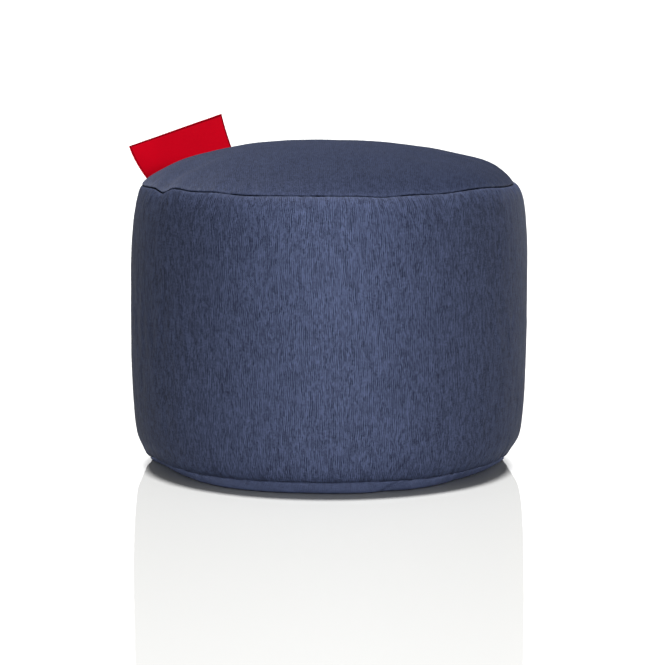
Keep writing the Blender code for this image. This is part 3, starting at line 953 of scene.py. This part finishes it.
def tape():
    """Red woven tape: a close rib, slight fading and a dark line inside its edges."""
    material, tree, shader = new_material("label_tape")
    place = add_node(tree, "UVMap", uv_map="cloth").outputs["UV"]
    across, along = thread_counts(tree, place, TAPE_PITCH)
    height, on_top, _, weft = weave(tree, across, along)
    rib = yarn(tree, weft, across, TAPE_STRETCH)
    tone = calc(tree, "MULTIPLY_ADD", noise(tree, place, TAPE_FADING, 2.0), 0.5, 0.20)
    tone = calc(tree, "MULTIPLY_ADD", rib, 0.22, tone)
    tone = calc(tree, "MULTIPLY_ADD", on_top, 0.08, tone)
    color = marked(tree, tone, LABEL_DEEP, LABEL_RED, "edge_line", LABEL_EDGE_RED)
    roughness = calc(tree, "MULTIPLY_ADD", rib, 0.10, 0.60)
    relief = calc(tree, "ADD", height, rib)
    finish_cloth(tree, shader, color, relief, 0.25, 0.0002, roughness, LABEL_GLOSS)
    return material


def floor_finish():
    """Glossy white sheet with a warm polish, in which the navy reads as a neutral grey."""
    material, tree, shader = new_material("floor_white")
    tree.nodes.remove(shader)
    white = add_node(tree, "BsdfDiffuse", {"Color": FLOOR_WHITE}).outputs[0]
    polish = add_node(tree, "BsdfGlossy", {"Color": POLISH, "Roughness": 0.0}).outputs[0]
    fresnel = add_node(tree, "Fresnel", {"IOR": FLOOR_IOR}).outputs[0]
    both = add_node(tree, "MixShader", {0: fresnel, 1: white, 2: polish}).outputs[0]
    tree.links.new(both, tree.nodes["Material Output"].inputs["Surface"])
    return material


# -------- the label

LABEL_COLUMNS = 90
LABEL_ROWS = 44
LABEL_WIDTH = 0.172
LABEL_HEIGHT = 0.062
LABEL_EDGE = 0.0012
LABEL_EDGE_SHARE = 0.22
LABEL_WAVES = (41, 0.0005, 0.035, 0.090)
EDGE_EVENNESS = 0.55

# Lines inside the label's edges: distance from the edge, half-width, strength
LABEL_DENT = (0.0032, 0.0006, 0.16)
LABEL_LINE = (0.0016, 0.0009, 1.0)


def label_middle(along, up):
    """A point of the label's middle surface, as in the solid."""
    azimuth = LABEL_START + (LABEL_END - LABEL_START) * along
    radius, height = top_seam(azimuth)
    root = Vector(on_rings(azimuth, radius + LABEL_ROOT_OUT, height + LABEL_ROOT_UP))
    free = LABEL_TOP_START.lerp(LABEL_TOP_END, along)
    outward = Vector(on_rings(azimuth, 1.0, 0.0))
    return root.lerp(free, up) + outward * (4.0 * up * (1.0 - up) * LABEL_CURL)


def edge_places(count):
    """Shares of a length from 0 to 1, close together at both ends."""
    turn = np.cos(pi * np.linspace(0.0, 1.0, count))
    return 0.5 - 0.5 * turn * (EDGE_EVENNESS + (1.0 - EDGE_EVENNESS) * np.abs(turn))


def line_inside(edge, place, half_width, strength):
    """A line along the label's edges, from distances to the edge."""
    return strength * np.exp(-(((edge - place) / half_width) ** 2))


def label_bake_parts(rows, columns, around):
    """Corner values of a map without overlaps for the label: front, back, and its edges in a strip above."""
    u, v = np.meshgrid(np.linspace(0.01, 0.49, columns), np.linspace(0.01, 0.88, rows))
    front = ring_corners(np.stack([u, v], axis=-1))
    left = np.linspace(0.01, 0.99, around + 1)
    low, high = np.full(around, 0.92), np.full(around, 0.97)
    corners = ((left[:-1], low), (left[1:], low), (left[1:], high), (left[:-1], high))
    edges = np.stack([np.stack(pair, axis=-1) for pair in corners], axis=1)
    return front[:, ::-1], front + [0.5, 0.0], edges


def add_label(material):
    """The label: a folded tape, two layers thick, with rounded edges, a pressed dent and a darker line inside
    them.
    """
    along = edge_places(LABEL_COLUMNS + 1)
    up = edge_places(LABEL_ROWS + 1)
    middle = np.array([[label_middle(a, u) for a in along] for u in up])
    normal = np.cross(np.gradient(middle, axis=0), np.gradient(middle, axis=1))
    normal /= np.linalg.norm(normal, axis=-1, keepdims=True)
    from_side = np.minimum(along, 1 - along)[None, :] * LABEL_WIDTH
    from_top = (1 - up)[:, None] * LABEL_HEIGHT
    edge = np.minimum(from_side, from_top)
    body = np.sqrt(1 - (1 - np.clip(edge / LABEL_EDGE, 0.0, 1.0)) ** 2)
    body = LABEL_EDGE_SHARE + (1.0 - LABEL_EDGE_SHARE) * body - line_inside(edge, *LABEL_DENT)
    half = 0.5 * LABEL_THICKNESS * body
    seed, size, *lengths = LABEL_WAVES
    x, y = np.broadcast_arrays(along[None, :] * LABEL_WIDTH, from_top)
    wave = size * quilt_noise(x, y, seed, *lengths) * up[:, None] ** 0.5
    front = middle + normal * (wave + half)[..., None]
    back = middle + normal * (wave - half)[..., None]
    rows, columns = edge.shape
    index = np.arange(edge.size).reshape(rows, columns)
    loop = np.concatenate([index[0, :-1], index[:-1, -1], index[-1, :0:-1], index[:0:-1, 0]])
    beyond = np.roll(loop, -1)
    edges = np.stack([loop, beyond, beyond + edge.size, loop + edge.size], axis=-1)
    faces = np.concatenate([ring_corners(index)[:, ::-1], ring_corners(index + edge.size), edges])
    mesh = bpy.data.meshes.new("label_tape")
    mesh.from_pydata(np.concatenate([front.reshape(-1, 3), back.reshape(-1, 3)]).tolist(), [], faces.tolist())
    flat = np.broadcast_arrays(along[None, :] * LABEL_WIDTH, up[:, None] * LABEL_HEIGHT)
    flat = np.stack(flat, axis=-1).reshape(-1, 2)
    flat = np.concatenate([flat, flat + [0.0, 0.1]])
    set_map(mesh, "cloth", [flat[faces]])
    set_map(mesh, "OFBake", label_bake_parts(rows, columns, len(loop)))
    # A darker line of colour drawn inside the edges
    line = np.tile(line_inside(edge, *LABEL_LINE).ravel(), 2)
    mesh.attributes.new("edge_line", "FLOAT", "POINT").data.foreach_set("value", line.astype(np.float32))
    mesh.materials.append(material)
    mesh.shade_smooth()
    return placed("label_tape", mesh)


# -------- making the pieces


def make_pieces():
    """The three cloth panels and the label, each in place of its solid."""
    # The hidden faces between the filled panels lie at these heights on the axis
    level_under = TOP_SEAM_HEIGHT - GROOVE_DOWN
    level_over = level_under + SEAM_GAP
    level_below = BOTTOM_SEAM_HEIGHT - SEAM_GAP

    band = band_rings()
    top_in = partition(band[-1], level_under)
    bottom_in = partition(band[0], BOTTOM_SEAM_HEIGHT)
    rings = np.concatenate([bottom_in[::-1], band, top_in])
    outer_map = band_map(band)
    low_map = np.repeat(outer_map[:1], len(bottom_in), axis=0)
    high_map = np.repeat(outer_map[-1:], len(top_in), axis=0)
    cloth_map = np.concatenate([low_map, outer_map, high_map])
    hidden = np.repeat([True, False, True], [len(bottom_in), len(band), len(top_in)])
    from_top = BAND_AT[-1] - BAND_AT
    wear = worn_near(from_top, WORN_RIDGE, 51) + worn_near(BAND_AT, WORN_RIDGE, 52)
    # Painted shade down in the grooves of the top and bottom seams
    groove_shade = painted_groove_shade(from_top, TOP_PULL, GROOVE_SHADE_REACH) + painted_groove_shade(BAND_AT, BOTTOM_PULL, BAND_BOTTOM_SHADE_REACH)
    side = add_piece(
        "side_band_cloth", rings, (BOTTOM_SEAM_HEIGHT, level_under), cloth_map, hidden, (wear, groove_shade),
        canvas("side_canvas", 1.0, 1.0),
    )

    crown = crown_rings()
    inner = partition(crown[0], level_over)[::-1]
    rings = np.concatenate([inner, crown])
    crown_top = TOP_SEAM_HEIGHT + CROWN_RISE - crown_dents(0.0, 0.0)
    hidden = np.repeat([True, False], [len(inner), len(crown)])
    # The second mark is painted shade in the top seam's groove
    marks = worn_near(CROWN_AT, WORN_RIDGE, 53), painted_groove_shade(CROWN_AT, TOP_PULL, GROOVE_SHADE_REACH)
    top = add_piece(
        "top_panel_cloth", rings, (level_over, crown_top), disc_map(rings[::-1])[::-1], hidden, marks,
        canvas("top_canvas", 0.45, 0.9),
    )

    foot = foot_rings()
    under = foot[-1] * np.array(UNDER_SHARES)[:, None, None]
    inner = partition(foot[0], level_below)
    rings = np.concatenate([under, foot[::-1], inner])
    hidden = np.repeat([False, True], [len(under) + len(foot), len(inner)])
    from_seam = np.concatenate([np.full(len(under), 1.0), lengths_along(foot[:, 0])[::-1]])
    # The second mark is painted shade in the bottom seam's groove
    marks = worn_near(from_seam, WORN_RIDGE, 54), painted_groove_shade(from_seam, BOTTOM_PULL, GROOVE_SHADE_REACH)
    bottom = add_piece(
        "bottom_panel_cloth", rings, (0.0, level_below), disc_map(rings), hidden, marks,
        canvas("bottom_canvas", 0.30, 0.5),
    )

    label = add_label(tape())
    for piece, node in (
        (side, "side_band"), (top, "top_panel"), (bottom, "bottom_panel"), (label, "label_tag"),
    ):
        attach(piece, "root")
        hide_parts(node)
    return side, top, bottom, label


# -------- studio

CAMERA_PLACE = (0.0044, -3.0466, 0.5672)
CAMERA_PITCH = 7.562
CAMERA_LENS = 131.15
SENSOR_WIDTH = 36.0


def add_camera():
    """The photograph's view."""
    camera = placed("camera", bpy.data.cameras.new("camera"))
    camera.data.lens = CAMERA_LENS
    camera.data.sensor_width = SENSOR_WIDTH
    camera.location = CAMERA_PLACE
    camera.rotation_euler = (radians(90.0 - CAMERA_PITCH), 0.0, 0.0)
    camera.data.clip_end = 100.0
    bpy.context.scene.camera = camera


# Suns: name, azimuth and elevation that they shine from, angular size, strength, what they light
SUN_DISTANCE = 3.0
SUNS = (
    ("sun_floor", 180, 84.8, 0.05, 3.75, "floor"),
    ("sun_cloth", 180, 84.0, 0.50, 7.44, "sides"),
    ("sun_crown_left", -80, 32.0, 0.50, 1.27, "crown"),
    ("sun_crown_back", -125, 30.0, 0.50, 2.75, "crown"),
    ("sun_crown_front", 0, 35.0, 0.50, 1.90, "crown"),
)

# Panels: name, place, aim, width, height, power, what they light
PANELS = (
    ("strip_middle", (0.018, -0.42, 0.20), (0.010, 0.0, 0.20), 0.06, 0.30, 0.328, "cloths"),
    ("strip_high", (0.0, -0.42, 0.42), (0.0, 0.0, 0.30), 0.10, 0.14, 0.470, "sides"),
    ("strip_low", (0.0, -0.36, 0.02), (0.0, 0.0, 0.03), 0.34, 0.02, 0.07, "sides"),
    ("low_front", (0.0, -0.90, 0.07), (0.0, 0.0, 0.01), 1.20, 0.12, 7.0, "cloths"),
    ("low_left", (-0.70, -0.22, 0.06), (-0.20, -0.03, 0.0), 0.60, 0.06, 3.6, "foot"),
    ("low_right", (0.70, -0.22, 0.06), (0.20, -0.03, 0.0), 0.60, 0.06, 4.2, "foot"),
    ("right", (1.5, -0.3, 0.5), (0.0, 0.0, 0.2), 0.80, 1.20, 7.8, "cloths"),
    ("right_back", (1.0, 1.0, 0.35), (0.2, 0.0, 0.2), 0.30, 0.50, 1.84, "cloths"),
    ("crown_top", (0.0, -0.6, 2.0), (0.0, 0.0, 0.35), 1.20, 1.20, 22.0, "crown"),
    ("label", (0.6, -1.5, 0.9), (-0.2, 0.14, 0.4), 0.60, 0.60, 30.0, "label"),
    ("back_left", (-1.6, 1.8, 0.8), (0.0, 0.0, 0.2), 0.90, 1.20, 2.5, "cloths"),
    ("back_right", (1.6, 1.8, 0.8), (0.0, 0.0, 0.2), 0.90, 1.20, 2.5, "cloths"),
)


def lit_groups(side, top, bottom, label, floor):
    """The collections that a light can be limited to."""
    members = {
        "floor": (floor,),
        "crown": (top,),
        "sides": (side, bottom),
        "cloths": (side, top, bottom),
        "foot": (bottom,),
        "label": (label,),
    }
    groups = {}
    for name, pieces in members.items():
        groups[name] = bpy.data.collections.new("lit_" + name)
        for piece in pieces:
            groups[name].objects.link(piece)
    return groups


def add_light(name, kind, place, aim, energy, groups, lit, **settings):
    """A light that shines from a place to an aim on one group, and isn't seen itself.

    Only the crown shades the floor, so the shadow is as narrow at the sides as in the photograph.
    """
    light = placed(name, bpy.data.lights.new(name, kind))
    light.data.energy = energy
    for key, value in settings.items():
        setattr(light.data, key, value)
    light.location = place
    light.rotation_euler = (Vector(aim) - Vector(place)).to_track_quat("-Z", "Y").to_euler()
    light.visible_camera = False
    light.light_linking.receiver_collection = groups[lit]
    if lit == "floor":
        light.light_linking.blocker_collection = groups["crown"]


FLOOR_REACH = 30.0
FLOOR_LEVEL = -0.0003


def add_floor():
    """A wide glossy white sheet, just under the footstool."""
    mesh = bpy.data.meshes.new("floor")
    corners = ((-1, -1), (1, -1), (1, 1), (-1, 1))
    points = [(x * FLOOR_REACH, y * FLOOR_REACH, FLOOR_LEVEL) for x, y in corners]
    mesh.from_pydata(points, [], [(0, 1, 2, 3)])
    mesh.materials.append(floor_finish())
    floor = placed("floor", mesh)
    return floor


AMBIENT = 0.19
BACKDROP = 1.05
BACKDROP_IN_FLOOR = 1.5


def add_world():
    """White surroundings: dim as a light, white behind the footstool, overexposed in the polished floor.

    Their colour in the floor undoes its warm polish, so only the navy's reflection turns grey.
    """
    world = bpy.data.worlds.new("studio")
    world.use_nodes = True
    tree = world.node_tree
    back = tree.nodes["Background"]
    rays = add_node(tree, "LightPath")
    in_polish = tuple(1.0 / part for part in POLISH)
    inputs = {"Factor": rays.outputs["Is Singular Ray"], "A": (1.0, 1.0, 1.0, 1.0), "B": in_polish}
    tree.links.new(add_node(tree, "Mix", inputs, data_type="RGBA").outputs["Result"], back.inputs["Color"])
    level = calc(tree, "MULTIPLY_ADD", rays.outputs["Is Camera Ray"], BACKDROP - AMBIENT, AMBIENT)
    level = calc(tree, "MULTIPLY_ADD", rays.outputs["Is Singular Ray"], BACKDROP_IN_FLOOR - AMBIENT, level)
    tree.links.new(level, back.inputs["Strength"])
    bpy.context.scene.world = world


def make_studio(side, top, bottom, label):
    """Camera, floor, lights and surroundings."""
    add_camera()
    groups = lit_groups(side, top, bottom, label, add_floor())
    add_world()
    for name, azimuth, elevation, size, strength, lit in SUNS:
        turn, rise = radians(azimuth), radians(elevation)
        place = Vector((np.cos(rise) * np.sin(turn), -np.cos(rise) * np.cos(turn), np.sin(rise)))
        add_light(name, "SUN", place * SUN_DISTANCE, (0.0, 0.0, 0.0), strength, groups, lit, angle=size)
    for name, place, aim, width, height, power, lit in PANELS:
        add_light(
            name, "AREA", place, aim, power, groups, lit, shape="RECTANGLE", size=width, size_y=height
        )
    bpy.context.scene.view_settings.view_transform = "Standard"


make_studio(*make_pieces())
